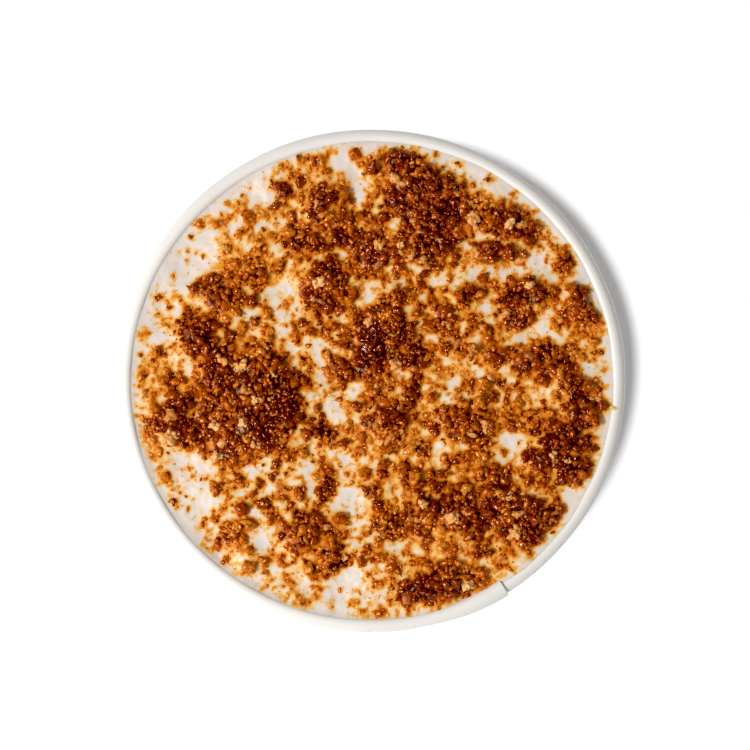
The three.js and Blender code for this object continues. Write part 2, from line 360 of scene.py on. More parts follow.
def makeWall():
    paper, fold, hem = cup["paper"], cup["fold"], cup["hemHeight"]
    hiddenPoints, shownPoints = cup["curlPoints"]
    curlEnd = math.radians(cup["curlEnd"])
    # up the outside, round the curl and back, down the inside, and round the hem that holds the base
    profile = arcPoints(wallOutside(fold) - fold, fold, fold, -90, 0, cup["foldPoints"])
    profile += [(wallOutside(z), z) for z in cup["outsideRings"]]
    profile += [curlPoint(a, paper) for a in np.linspace(curlStart(paper), curlEnd, hiddenPoints)]
    profile += [curlPoint(a, 0) for a in np.linspace(curlEnd, curlStart(0), shownPoints)]
    profile += [(wallInside(z), z) for z in (*cup["insideRings"], paper)]
    profile += [(footLayer(paper, 2, 1), paper)]
    profile += arcPoints(footLayer(hem, 2, 1.5), hem - paper / 2, paper / 2, 0, 180, cup["hemPoints"])
    profile += arcPoints(footLayer(fold, 2, 2) + fold, fold, fold, 180, 270, cup["foldPoints"])
    mesh = spinMesh("paperCup", profile, cup["seam"], cup["steps"], True)

    radius, turn, z = readPoints(mesh)
    step = 360 / cup["steps"]
    past = np.mod(turn - cup["seam"] + step / 4, 360) - step / 4
    lapTurn = 360 - round(math.degrees(cup["lap"] / (cup["rim"] / 2)) / step) * step
    # the columns beside the paper's two edges close up to make a sharp step
    past = np.where(np.abs(past - (360 - step)) < step / 4, 360 - cup["edgeAngle"], past)
    past = np.where(np.abs(past - (lapTurn - step)) < step / 4, lapTurn - cup["edgeAngle"], past)

    # which points are on the bead and which on the wall's outside
    hair = 0.01
    outX, outZ = radius - curlX, z - curlZ
    along = outX * math.cos(curlTurn) + outZ * math.sin(curlTurn)
    across = -outX * math.sin(curlTurn) + outZ * math.cos(curlTurn)
    onOval = np.abs(np.hypot(along / cup["curlLong"], across / cup["curlShort"]) - 1) < hair
    shown = onOval & (outX > -curlHalfWidth * cup["clearOfWall"])
    outside = (radius > wallInside(0) + (z * math.tan(wallLean)) + paper / 2) & (z <= outerTop[1] + hair)
    outside &= ~onOval

    # the bead steps up where the paper overlaps, and it is a little uneven, with one nick
    reach = np.hypot(outX, outZ)
    raised = np.where(shown, lapStep(-past - cup["edgeAngle"] / 2), 0)
    nick = cup["dentDepth"] * np.exp(-((np.mod(turn, 360) - cup["dentTurn"]) / cup["dentWidth"]) ** 2)
    nick = np.where(shown & (outX > 0), nick, 0)
    wobble = sum(high * np.sin(np.radians(count * turn + start)) for count, start, high in cup["wobbles"])
    wobble = np.where(shown, wobble, 0)
    radius = radius + (raised + wobble - nick) * outX / reach
    z = z + np.where(shown, (raised + wobble) * outZ / reach, 0)
    radius = radius + np.where(outside, lapStep(past - lapTurn + cup["edgeAngle"] / 2), 0)
    turn = past + cup["seam"]
    writePoints(mesh, radius * roundness(turn, z), turn, z, cup["sharpAngle"])
    return mesh


def makeBase():
    under, flange = cup["baseHeight"], cup["flangeBottom"]
    top = under + cup["paper"]
    corner, inner = cup["baseCorner"], cup["baseCorner"] - cup["paper"]
    innerPoints, outerPoints = cup["cornerPoints"]
    profile = [(radius, under) for radius in (0, *cup["baseRings"])]
    profile += arcPoints(footLayer(under, 1, 1) - inner, under - inner, inner, 90, 0, innerPoints)
    profile += [(footLayer(flange, 1, 1), flange), (footLayer(flange, 1, 0), flange)]
    profile += arcPoints(footLayer(top, 1, 0) - corner, top - corner, corner, 0, 90, outerPoints)
    profile += [(cup["baseRings"][1], top), (0, top)]
    mesh = spinMesh("paperBase", profile, 0, cup["baseSteps"], False)
    radius, turn, z = readPoints(mesh)
    writePoints(mesh, radius * roundness(turn, z), turn, z, cup["sharpAngle"])
    return mesh


paperLook = {
    "stops": [(0.3, "efeae3"), (0.62, "f1ede7")],
    "cloud": 9,
    "fibre": 0.35,  # size of the paper's soft mottle
    "bump": {"Strength": 0.35, "Distance": 0.02 * mm},
    "surface": {
        "Roughness": 0.5, "IOR": 1.5, "Coat Weight": 0.15, "Coat Roughness": 0.3,
        # light goes a little way into white board
        "Subsurface Weight": 0.25, "Subsurface Scale": 0.4 * mm, "Subsurface Radius": (1, 0.9, 0.8),
    },
}


def makePaperMaterial():
    # bleached cupstock with a thin polyethylene coat: clean warm white, soft broad highlights, faint mottle
    material, tree = startMaterial("coatedPaperboard")
    place = addNode(tree, "ShaderNodeTexCoord").outputs["Object"]
    cloud, fibre = [addNode(tree, "ShaderNodeTexNoise", links={"Vector": place},
                            values={"Scale": 1 / (paperLook[size] * mm), "Detail": detail})
                    for size, detail in (("cloud", 3), ("fibre", 4))]
    tint = addNode(tree, "ShaderNodeValToRGB", links={"Fac": cloud})
    setRamp(tint, paperLook["stops"])
    bump = addNode(tree, "ShaderNodeBump", values=paperLook["bump"], links={"Height": fibre})
    shader = addNode(tree, "ShaderNodeBsdfPrincipled", values=paperLook["surface"],
                     links={"Base Color": tint, "Normal": bump})
    addNode(tree, "ShaderNodeOutputMaterial", links={"Surface": shader})
    return material


paperMaterial = makePaperMaterial()
wallPiece = addPiece("paperCupWall", makeWall(), paperMaterial)
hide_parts("cup_wall")
basePiece = addPiece("paperCupBase", makeBase(), paperMaterial)
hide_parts("cup_base")
print("the paper cup is made")


# Where the sugar lies: x, y and spread of the thick drifts and of the bare patches

drifts = [
    (9, 32, 6.5), (5, 24, 5), (-8, 18, 4.5), (3, 9, 5.5), (16, 14, 4), (-25, 14, 4), (-31, 8, 4),
    (-20, 2, 5.5), (-21, -7, 6.5), (-34, -8, 4), (-12, -28, 4.5), (-22, -32, 3), (3, -8, 4.5),
    (17, -8, 5), (35, -1, 4), (34, -13, 5.5), (13, -22, 5), (25, -25, 6), (13, -37, 4.5), (24, 28, 4.5),
    (28, 15, 4), (37, 15, 3), (-9, 32, 4),
]
bareSpots = [
    (-34, 22, 5), (-38, 12, 4), (-21, 34, 3), (-3, 36, 2.4), (-15, 16, 3), (-15, 7, 3), (6, 18, 2),
    (24, 20, 3), (28, 8, 2.2), (-7, 0, 2.5), (26, -14, 3.5), (-33, -15, 3.5), (-32, -23, 3.5),
    (-10, -18, 2.5), (-4, -15, 2), (-3, -22, 3), (-28, -29, 2.5), (-13, -36, 3), (-5, -37, 3.5),
    (34, -21, 3), (19, 38, 4),
]
# the same, closer, for the loose sugar alone
smallDrifts = [
    (9, 33, 6), (13, 31, 4), (10, 25, 4), (0, 23, 3.5), (-8, 18, 3.5), (-10, 14.5, 2.5), (1, 8, 4.5),
    (-6, 1, 2.5), (-8, -19, 2.2), (0, -20, 2), (-12, 25, 3), (-5, 27, 2.5), (4, 15, 2), (12, 11, 2.5),
    (21, 23, 2), (26, 10, 2.5), (-9, -9, 2), (-25, -27, 2), (-29, 17, 2), (27, 3, 2), (22, 5, 2),
    (3, 11, 2.5), (0, 4, 3), (8, 4, 2), (18, 16, 2), (-26, 15, 2.5), (-31, 8, 4), (-28, 2, 2.5),
    (-20, 2, 5), (-16.5, -3, 3.5), (-22, -6, 5), (-18, -9, 3.5), (-26, -12, 3), (-28, -4, 3),
    (-34, -4, 2), (-33, -9, 3), (-37, -7, 2.5), (-12, -27, 3.5), (-7, -31.5, 2.5), (3, -7, 4),
    (7, -1.5, 1.5), (18, -8, 4), (14, -7, 2), (33, 3, 2.5), (36, -1.5, 2.5), (38, -5, 2),
    (31, -12.5, 3.5), (36, -16, 3), (36, -10, 3), (7, -17, 2), (22, -17.5, 2.5), (14, -22, 3.5),
    (9, -24.5, 2), (24, -23, 4.5), (27, -26.5, 3), (32, -24, 2.5), (17, -25, 3), (3, -26, 3),
    (8, -38, 2.5), (13, -36, 3), (17, -36.5, 3), (27, 28, 2.5), (21, 29, 3), (28, 15, 3), (24, 14, 1.5),
    (37.5, 15, 1.8), (38.5, 11.5, 1.8), (34.5, 21, 2), (30, 6, 1.5), (-8.5, 32, 2.5), (-16, 33.5, 1.5),
    (-10, 40, 2), (5, 40, 3), (-21, 19.5, 2),
]
smallBare = [
    (-33, 23, 4.5), (-37, 15, 4), (-32, 19.5, 2.5), (-38, 8, 2.5), (-21, 33.5, 3), (-27.5, 18, 1.8),
    (-3, 35, 2.8), (-5, 38, 2), (-15, 16, 2.5), (-16, 8, 2.5), (-13, 6, 2), (-32, 3, 2.2),
    (6, 18.5, 1.8), (0.5, 15.5, 1.8), (24, 20, 3), (20, 15, 1.5), (28, 7.5, 2.3), (32, 7, 1.5),
    (39, 1.5, 2), (30, 10.5, 1.5), (-8, 2.5, 2), (-3, -2, 1.8), (-7, -3, 1.5), (24, -12.5, 3),
    (12, -12.5, 1.8), (-32, -14, 3), (-36, -14, 2), (-31, -21, 3.2), (-33, -24, 2.5),
    (-20.5, -17.5, 1.8), (-10.5, -17.5, 2), (-4, -14, 2), (-2, -22, 2.5), (-5, -22, 2), (-19, -27, 2),
    (-28, -29, 1.8), (-13, -35, 2.5), (-6, -37.5, 3.5), (-3, -34, 2), (3.5, -29, 2), (34, -21, 2.3),
    (13, -17.5, 1.5), (7, -35, 1.5), (-11.5, 7.5, 2), (-5, 12.5, 1.5), (11.3, 12.4, 1.3),
    (12.7, -3, 1.5), (-2, -9, 1.2), (-11.3, -6.9, 1.3), (13, 39, 2.6), (18, 38, 2.8), (22, 35.5, 2.8),
    (27, 32.5, 2), (-29, 28, 2.6), (-22, -30, 2), (11, -17, 2), (-35, -17, 2.2), (33, -23, 2.4),
    (-23, 11, 2.2), (19, 26, 1.5), (31, 20, 2), (12.6, 32, 1.1), (4.8, 28.4, 1.2), (13.2, 25.5, 1.2),
    (16.3, 24, 1.4), (18, 18.8, 1.3),
]
# the largest pale crumbs: x, y and size
paleCrumbs = [
    (-23, 2.5, 2.6), (18, 28.5, 2.8), (1, 24, 2), (7, 22, 1.8), (18.5, 23, 1.8), (-0.5, 10.5, 2),
    (4, 3, 2.2), (-36, -10, 3), (-28, -8, 2.2), (-27.5, -13.5, 2.2), (14.5, -24.5, 2.8),
    (-9.5, 17.5, 2.5), (20, -8, 2.2), (-21, -3.5, 2), (25.5, -27, 3),
]

# where the sugar is burnt darkest
darkSpots = [
    (7.5, 33.5, 4), (4.5, 31.5, 2.5), (13, 31, 3), (0.5, 8, 3), (-20, -9, 3), (32, -12, 3),
    (-1, 4, 2.5), (-7.5, 19, 2.5), (27.5, -26, 3), (-26, -11.5, 2.5), (-22, -5, 2.5), (3, -6.5, 2.5),
    (6, 8.5, 2), (-0.5, 22, 2),
]

# pale crumbs that lie on the other sugar
looseCrumbs = [
    (-26.5, 3.5, 2), (5, 24, 1.5), (9, 21.5, 1.6), (24.5, 28, 2), (3.5, 8, 1.5), (18, 5.5, 2),
    (-31, -6, 2), (-23, -7.5, 2), (-21, -11.5, 1.5), (17, -36.5, 2.3), (24, 12.5, 1.8), (32, -13, 1.8),
    (35, -14, 1.6), (5.5, -3, 1.5), (-5, -31.5, 1.5), (9, -22, 2), (-17.5, 1, 1.6), (-19, 6, 1.5),
    (28, 17, 1.5), (12, 25, 1.4),
]


def spread(places, x, y):
    # how much of the places is felt here, from 0 to 1
    total = 0
    for placeX, placeY, size in places:
        total = total + np.exp(-((np.hypot(x - placeX, y - placeY) / size) ** 2))
    return np.minimum(total, 1)


# The cream's surface

cream = {
    "level": 59.5,
    "tilt": 0.15,  # higher towards the right
    "tiltTurn": 20,
    "ripple": 0.12,
    "rippleLength": 17,
    "rippleSkew": 0.4,
    "drift": 0.85,
    "bare": 0.35,
    "fade": 4,
    "corner": 1.5,
    "sideRings": (58.8, 57, 30),
    "sharpAngle": 60,
    "edgeOver": 0.1,  # its edge lies this deep in the bead
    "edgeFrom": 0.97,  # it begins to climb at this share of the mouth's radius
    "edgeBand": 0.03,
    "meniscus": 0.17,  # it climbs the bead, most of all at the lower left
    "meniscusLean": 1.2,
    "meniscusTurn": 245,
    "smearTurn": 42,  # at the upper right it is wiped up the bead's slope
    "smearWidth": 38,
    "smearRise": 0.02,
    "smearFrom": 0.93,
    "smearBand": 0.07,
    "lump": 0.07,
    "grit": 0.035,
    "wetting": 0.14,  # it climbs between the grains
    "syrup": 0.45,  # how far up the grains of a drift the melted sugar stands
    "syrupWidth": 0.4,
    "syrupWave": 0.09,
    "syrupFrom": 0.25,  # it stands only where the drift is thicker than this
    "syrupBand": 0.45,
    "cells": 290,  # along each side of the grid that becomes the surface
}


def creamSurface(x, y):
    turn = math.radians(cream["tiltTurn"])
    along = (x * math.cos(turn) + y * math.sin(turn)) / mouthRadius
    wave = 2 * math.pi / cream["rippleLength"]
    ripple = np.sin(wave * (x + cream["rippleSkew"] * y)) * np.cos(wave * (y - cream["rippleSkew"] * x))
    heap = cream["drift"] * spread(drifts, x, y) - cream["bare"] * spread(bareSpots, x, y)
    level = cream["level"] + cream["tilt"] * along + cream["ripple"] * ripple
    return level + heap * smooth((mouthRadius - np.hypot(x, y)) / cream["fade"])


# Maps over the mouth of the cup: what the grains lie on, how thick they lie, what they cover

mapCell = 0.2
mapHalf = 45
mapCount = int(2 * mapHalf / mapCell)
mapLine = (np.arange(mapCount) + 0.5) * mapCell - mapHalf
mapX, mapY = np.meshgrid(mapLine, mapLine)
patches = {
    # width and seed of each random map
    "clump": (0.6, 31),
    "fineClump": (0.33, 32),
    "tone": (1.0, 33),
    "broadTone": (2.2, 34),
    "lump": (1.2, 41),
    "grit": (0.35, 42),
    "film": (0.9, 43),
    "fineFilm": (0.35, 46),
    "syrup": (0.45, 44),
    "spots": (0.22, 45),
}


def blurMap(values, width):
    # a Gaussian blur of the given width in millimetres
    frequency = np.fft.fftfreq(mapCount, mapCell)
    fall = np.exp(-2 * (math.pi * width * frequency) ** 2)
    return np.real(np.fft.ifft2(np.fft.fft2(values) * fall[:, None] * fall[None, :]))


def patchMap(name):
    # random soft patches, with a spread of 1 round 0
    width, seed = patches[name]
    soft = blurMap(np.random.default_rng(seed).normal(size=(mapCount, mapCount)), width)
    return soft / soft.std()


def readMap(values, x, y):
    # the value of a map between the middles of its cells
    fx = np.clip((x + mapHalf) / mapCell - 0.5, 0, mapCount - 1.001)
    fy = np.clip((y + mapHalf) / mapCell - 0.5, 0, mapCount - 1.001)
    ix, iy = np.floor(fx).astype(int), np.floor(fy).astype(int)
    tx, ty = fx - ix, fy - iy
    low = values[iy, ix] * (1 - tx) + values[iy, ix + 1] * tx
    high = values[iy + 1, ix] * (1 - tx) + values[iy + 1, ix + 1] * tx
    return low * (1 - ty) + high * ty


surfaceMap = creamSurface(mapX, mapY)
heights = surfaceMap.copy()
covered = np.zeros_like(heights)
heapMap = spread(smallDrifts, mapX, mapY)
darkMap = spread(darkSpots, mapX, mapY)
bareMap = spread(smallBare, mapX, mapY)


def heapAt(x, y):
    return float(readMap(heapMap, x, y))


small = {
    "seed": 4821,
    "count": 6150,
    "edge": 0.1,  # nothing lies closer to the wall
    "median": 0.88,
    "sizeBare": 0.8,  # the median is so much smaller on bare cream
    "sizeOnDrift": 0.28,  # and grows by this on a drift, and by the next in golden clumps
    "sizeGold": 0.2,
    "scatter": 0.4,
    "smallest": 0.45,
    "largest": 2.2,
    "fewest": 2,  # in a clump of melted grains
    "members": 4,  # in a clump, on average
    "single": 0.88,  # this share of the draws drops one grain alone, and on a drift less by the next
    "singleOnDrift": 0.45,
    "clumpReach": 0.5,
    "goldClumps": 0.03,
    "sunkInCream": 0.4,  # shares of a grain's size
    "sunkInSugar": 0.36,
    "onSugarFrom": 0.6,
    "flatness": 0.8,
    "base": 0.5,  # how thick the sugar lies away from drifts, where a drift is 1
    "bare": 0.55,
    "thinnest": 0.06,  # where it would lie thinner than this there are only strays
    "thickest": 0.85,
    "strays": 0.1,
    "rimClear": 0.6,  # it lies thinner near the rim, most of all at the upper right
    "rimClearFrom": 40,
    "rimClearBand": 2,
    "rimClearTurn": 42,
    "clump": 0.1,
    "fineClump": 0.1,
    "crumbClear": 0.4,  # no grain hides a pale crumb: shares of the crumb's and of the grain's size
    "grainClear": 0.2,
    "apart": 0.9,  # away from drifts this share of the grains finds a place of its own
    "taken": 0.3,
    "pile": 0.4,  # how high above the cream a grain's middle may lie, bare and on a drift
    "pileOnDrift": 1.1,
    "pileGold": 0.6,
    "pileScatter": (0.5, 1),
    "buried": 0.15,  # a grain that stands out less than this share of its size is left out
}
sugarReach = mouthRadius - small["edge"]
thickMap = small["base"] + (1 - small["base"]) * heapMap - small["bare"] * bareMap
mapReach = np.hypot(mapX, mapY)
towardClear = np.cos(np.arctan2(mapY, mapX) - math.radians(small["rimClearTurn"]))
nearRim = smooth(mapReach, small["rimClearFrom"], small["rimClearBand"])
thickMap -= small["rimClear"] * nearRim * (0.5 + 0.5 * towardClear)
thickMap += small["clump"] * patchMap("clump")
thickMap += small["fineClump"] * patchMap("fineClump")
thickRange = small["thickest"] - small["thinnest"]
thickMap = np.maximum((thickMap - small["thinnest"]) / thickRange, small["strays"])


def footprint(x, y, size):
    # the map's cells under a grain, and how high its dome stands over each
    x0, x1 = int((x - size / 2 + mapHalf) / mapCell), int((x + size / 2 + mapHalf) / mapCell) + 1
    y0, y1 = int((y - size / 2 + mapHalf) / mapCell), int((y + size / 2 + mapHalf) / mapCell) + 1
    away = (mapLine[x0:x1] - x)[None, :] ** 2 + (mapLine[y0:y1] - y)[:, None] ** 2
    return (slice(y0, y1), slice(x0, x1)), np.sqrt(np.maximum(size * size / 4 - away, 0))


def restHeight(x, y, size, flatness):
    # where an oval grain's centre comes to lie on what is already there
    window, dome = footprint(x, y, size)
    return (heights[window] + dome * flatness)[dome > 0].max(initial=float(readMap(heights, x, y)))


def layDown(x, y, z, size, flatness):
    window, dome = footprint(x, y, size)
    inside = dome > 0
    heights[window] = np.where(inside, np.maximum(heights[window], z + dome * flatness), heights[window])
    covered[window] = np.maximum(covered[window], inside)


sugar = {
    "burntGrains": 250,
    "largest": 3.0,
    "smallest": 1.5,
    "sunk": 0.2,
    "flatness": 0.82,
    "spacing": 0.56,  # no closer than this share of two sizes together
    "loose": 0.18,  # the chance away from drifts
    "bare": 0.6,
    "edge": 0.9,
    "drawSeed": 20731,
    "drawFactor": 1664525,
    "drawShift": 1013904223,
    "drawRange": 4294967296,
}


def largeGrainPlaces():
    # the same draws as the solid's grains, so they lie in the same places
    state = sugar["drawSeed"]

    def draw():
        nonlocal state
        state = (state * sugar["drawFactor"] + sugar["drawShift"]) % sugar["drawRange"]
        return state / sugar["drawRange"]

    placed = list(paleCrumbs)
    reach = mouthRadius - sugar["edge"]
    while len(placed) < sugar["burntGrains"] + len(paleCrumbs):
        rank = (len(placed) - len(paleCrumbs)) / sugar["burntGrains"]
        size = sugar["largest"] + (sugar["smallest"] - sugar["largest"]) * math.sqrt(rank)
        x = reach * (2 * draw() - 1)
        y = reach * (2 * draw() - 1)
        heaped = (1 - sugar["loose"]) * spread(drifts, x, y)
        chance = sugar["loose"] + heaped - sugar["bare"] * spread(bareSpots, x, y)
        wanted = draw() < chance and math.hypot(x, y) < reach - size / 2
        if wanted and all(math.hypot(x - ox, y - oy) > sugar["spacing"] * (size + other)
                          for ox, oy, other in placed):
            placed.append((x, y, size))
    return placed


tones = {
    # 0 is light amber and 1 nearly black
    "base": 0.37,
    "onDrift": 0.26,  # so much darker on a drift, in a dark spot and by patches
    "darkSpot": 0.15,
    "patch": 0.09,
    "patchMix": 0.7,
    "scatter": 0.11,
    "darkest": 0.55,  # the limit on bare cream, and how much higher it is on a drift
    "darkestOnDrift": 0.35,
    "thinLight": 0.7,  # the smaller a grain, the more light comes through it
    "member": 0.05,
    "fusedPale": (0.1, 0.45),
    "loosePale": (0.1, 0.5),
    "gold": (0.3, 0.8),
    "darkPiece": 0.45,  # darker grains than this are one piece and lighter ones another
}
toneMap = tones["patchMix"] * patchMap("tone") + tones["patchMix"] * patchMap("broadTone")


def toneAt(x, y, rng):
    heaped = heapAt(x, y)
    patch = float(readMap(toneMap, x, y))
    dark = float(readMap(darkMap, x, y))
    tone = tones["base"] + tones["onDrift"] * heaped + tones["darkSpot"] * dark + tones["patch"] * patch
    return min(tone + rng.normal(0, tones["scatter"]), tones["darkest"] + tones["darkestOnDrift"] * heaped)


def dropGrains():
    # each grain is its place, size, tone and kind
    grains = []
    rng = np.random.default_rng(small["seed"])
    for index, (x, y, size) in enumerate(largeGrainPlaces()):
        z = float(creamSurface(x, y)) + sugar["sunk"] * size
        layDown(x, y, z, size, sugar["flatness"])
        tone = toneAt(x, y, rng)
        if index < len(paleCrumbs):
            grains.append((x, y, z, size, rng.uniform(*tones["fusedPale"]), "pale"))
        else:
            grains.append((x, y, z, size, tone, "large"))
    for x, y, size in looseCrumbs:
        z = restHeight(x, y, size, sugar["flatness"]) - small["sunkInSugar"] * size
        layDown(x, y, z, size, sugar["flatness"])
        grains.append((x, y, z, size, rng.uniform(*tones["loosePale"]), "pale"))
    while len(grains) < small["count"]:
        middle = rng.uniform(-sugarReach, sugarReach, 2)
        if rng.random() > readMap(thickMap, *middle):
            continue
        gold = rng.random() < small["goldClumps"]
        clumpTone = rng.uniform(*tones["gold"]) if gold else toneAt(*middle, rng)
        alone = rng.random() < small["single"] - small["singleOnDrift"] * heapAt(*middle)
        members = 1 if alone else small["fewest"] + rng.poisson(small["members"] - small["fewest"])
        for x, y in middle + rng.normal(0, small["clumpReach"], (members, 2)) * (members > 1):
            heaped = heapAt(x, y)
            growth = small["sizeBare"] + small["sizeOnDrift"] * heaped + small["sizeGold"] * gold
            size = small["median"] * growth * math.exp(rng.normal(0, small["scatter"]))
            size = float(np.clip(size, small["smallest"], small["largest"]))
            clear = small["grainClear"] * size
            hides = any(math.hypot(x - cx, y - cy) < small["crumbClear"] * crumb + clear
                        for cx, cy, crumb in paleCrumbs + looseCrumbs)
            if hides or math.hypot(x, y) > sugarReach - size / 2:
                continue
            ownPlace = rng.random() < small["apart"] * (1 - heaped)
            if ownPlace and readMap(covered, x, y) > small["taken"]:
                continue
            z = restHeight(x, y, size, small["flatness"])
            level = float(readMap(surfaceMap, x, y))
            onCream = z - level < small["onSugarFrom"] * size
            z -= size * (small["sunkInCream"] if onCream else small["sunkInSugar"])
            # what would lie too high is melted into the sugar below
            piled = max(heaped, small["pileGold"] * gold)
            cap = small["pile"] + (small["pileOnDrift"] - small["pile"]) * piled
            z = min(z, level + cap * rng.uniform(*small["pileScatter"]))
            if z + size * (small["flatness"] / 2 - small["buried"]) < readMap(heights, x, y):
                continue
            layDown(x, y, z, size, small["flatness"])
            thin = tones["thinLight"] * max(1 - size, 0)
            tone = clumpTone - thin + rng.normal(0, tones["member"])
            grains.append((x, y, z, size, tone, "gold" if gold else "small"))
    return grains


specks = {
    "seed": 911,
    "count": 3200,
    "smallest": 0.24,
    "largest": 0.5,
    "sunk": 0.3,
    "flatness": 0.8,
    "everywhere": 0.3,
    "tone": 0.06,
    "toneOnDrift": 0.85,
    "toneScatter": 0.1,
    "driftReach": 1.7,  # the dust is darkest already where a drift begins to thin out
}


def dropSpecks():
    found = []
    rng = np.random.default_rng(specks["seed"])
    while len(found) < specks["count"]:
        x, y = rng.uniform(-sugarReach, sugarReach, 2)
        thick = max(float(readMap(thickMap, x, y)), 0)
        if math.hypot(x, y) > sugarReach or rng.random() > specks["everywhere"] + thick:
            continue
        size = rng.uniform(specks["smallest"], specks["largest"])
        z = restHeight(x, y, size, specks["flatness"]) - specks["sunk"] * size
        layDown(x, y, z, size, specks["flatness"])
        heaped = min(specks["driftReach"] * heapAt(x, y), 1)
        tone = specks["tone"] + (specks["toneOnDrift"] - specks["tone"]) * heaped
        found.append((x, y, z, size, tone + rng.normal(0, specks["toneScatter"]), "speck"))
    return found


allGrains = dropGrains()
allSpecks = dropSpecks()
print(len(allGrains), "grains and", len(allSpecks), "specks are laid out, the highest at", heights.max())


# Grain shapes

shapes = {
    "variants": 16,
    "lobes": {1: 3, 2: 5, 3: 10, 4: 16},  # by how finely the ball is divided
    "lobeRadius": {1: 0.25, 2: 0.23, 3: 0.17, 4: 0.19},
    "lobeScatter": (0.8, 1.25),
    "lobeAway": (0.25, 0.42),  # shares of the grain's size
    "core": 0.32,
    "roughSize": 0.42,
    "noiseReach": 50,
    "footShadeAndGlow": (-0.3, 0.3),  # painted light by height: how much darker the foot is than the top, bare and on a drift; a lighter foot is painted glow on bare cream, a darker one is painted shade and soaked syrup on a drift
    "crumbsBelow": 0.72,  # grains below this size need fewer faces
}
burntForm = {"flatness": 0.8, "uneven": 0.4, "rough": 0.42}
paleForm = {"flatness": 1.0, "uneven": 0.18, "rough": 0.3}  # the pale crumbs are blunter


def lumpShape(divisions, rng, roughness):
    # a few balls melted together, seen from the middle
    bm = bmesh.new()
    bmesh.ops.create_icosphere(bm, subdivisions=divisions, radius=0.5)
    shift = Vector(rng.uniform(-shapes["noiseReach"], shapes["noiseReach"], 3))
    lobes = []
    for _ in range(shapes["lobes"][divisions]):
        away = Vector(rng.normal(size=3)).normalized() * rng.uniform(*shapes["lobeAway"])
        lobes.append((away, shapes["lobeRadius"][divisions] * rng.uniform(*shapes["lobeScatter"])))
    for vert in bm.verts:
        direction = vert.co.normalized()
        reach = shapes["core"]
        for away, radius in lobes:
            along = direction.dot(away)
            inside = along * along - away.length_squared + radius * radius
            if inside > 0 and along > 0:
                reach = max(reach, along + math.sqrt(inside))
        unevenness = noise.noise(direction / shapes["roughSize"] + shift)
        vert.co = direction * reach * (1 + roughness * unevenness)
    points = np.array([vert.co for vert in bm.verts])
    faces = np.array([[vert.index for vert in face.verts] for face in bm.faces])
    bm.free()
    return points, faces


def randomTurns(rng, count):
    # turning matrices that favour no direction
    quats = rng.normal(size=(count, 4))
    quats /= np.linalg.norm(quats, axis=1)[:, None]
    w, x, y, z = quats.T
    return np.stack([
        1 - 2 * (y * y + z * z), 2 * (x * y - z * w), 2 * (x * z + y * w),
        2 * (x * y + z * w), 1 - 2 * (x * x + z * z), 2 * (y * z - x * w),
        2 * (x * z - y * w), 2 * (y * z + x * w), 1 - 2 * (x * x + y * y),
    ], axis=1).reshape(-1, 3, 3)


def grainMesh(name, grains, divisions, seed, form):
    # every grain is one of a few lumps, turned and stretched in its own way
    rng = np.random.default_rng(seed)
    library = [lumpShape(divisions, rng, form["rough"]) for _ in range(shapes["variants"])]
    places = np.array([grain[:3] for grain in grains])
    sizes = np.array([grain[3] for grain in grains])
    tones = np.array([grain[4] for grain in grains])
    turns = randomTurns(rng, len(grains))
    stretch = rng.uniform(1 - form["uneven"], 1 + form["uneven"], (len(grains), 3))
    picks = rng.integers(0, len(library), len(grains))
    allPoints, allFaces, tonesWithPaintedLight, start = [], [], [], 0
    for k, (points, faces) in enumerate(library):
        mine = np.flatnonzero(picks == k)
        turned = np.einsum("nij,npj->npi", turns[mine], points[None] * stretch[mine][:, None])
        turned[:, :, 2] *= form["flatness"]
        placed = turned * sizes[mine][:, None, None] + places[mine][:, None]
        allPoints.append(placed.reshape(-1, 3))
        offsets = start + np.arange(len(mine)) * len(points)
        allFaces.append((faces[None] + offsets[:, None, None]).reshape(-1, 3))
        heaped = readMap(heapMap, *places[mine][:, :2].T)
        # painted light: each point's tone changes with its height in the grain, a painted glow at the foot
        # on bare cream and painted shade at the foot on a drift
        footShadeAndGlow = shapes["footShadeAndGlow"][0] + (shapes["footShadeAndGlow"][1] - shapes["footShadeAndGlow"][0]) * heaped
        tonesWithPaintedLight.append((tones[mine][:, None] - footShadeAndGlow[:, None] * turned[:, :, 2]).ravel())
        start += len(mine) * len(points)
    points = np.concatenate(allPoints) * mm
    faces = np.concatenate(allFaces)
    mesh = bpy.data.meshes.new(name)
    mesh.vertices.add(len(points))
    mesh.vertices.foreach_set("co", points.ravel())
    mesh.loops.add(faces.size)
    mesh.loops.foreach_set("vertex_index", faces.ravel())
    mesh.polygons.add(len(faces))
    mesh.polygons.foreach_set("loop_start", np.arange(len(faces)) * 3)
    mesh.update(calc_edges=True)
    mesh.polygons.foreach_set("use_smooth", [True] * len(faces))
    # the tone holds each grain's own colour and the painted light by height
    tone = mesh.attributes.new("tone", "FLOAT", "POINT")
    tone.data.foreach_set("value", np.concatenate(tonesWithPaintedLight))
    return mesh


sugarLook = {
    "stops": [(0.0, "f2ae54"), (0.16, "e8922e"), (0.34, "d06a10"), (0.52, "a44008"), (0.72, "761e06"),
              (1.0, "420a02")],
    "mottle": 0.55,
    "mottleShare": 0.7,
    "granule": 0.42,  # the lumps are granules melted together
    "granuleMelt": 0.4,
    "granuleBump": 0.16,
    "bumpStrength": 0.9,
    "glossTones": (0.15, 0.75),
    "roughness": (0.3, 0.18),  # of light and of dark grains
    "shine": 0.9,
    "ior": 1.65,
    "sheenColour": "ffbe8a",  # glints are mixed with light from inside the sugar
    "glow": 0.3,
    "glowDepth": 0.15,
    "glowColour": (1, 0.8, 0.6),
    "wet": 0.1,  # a film of syrup over it
    "wetRoughness": 0.14,
}


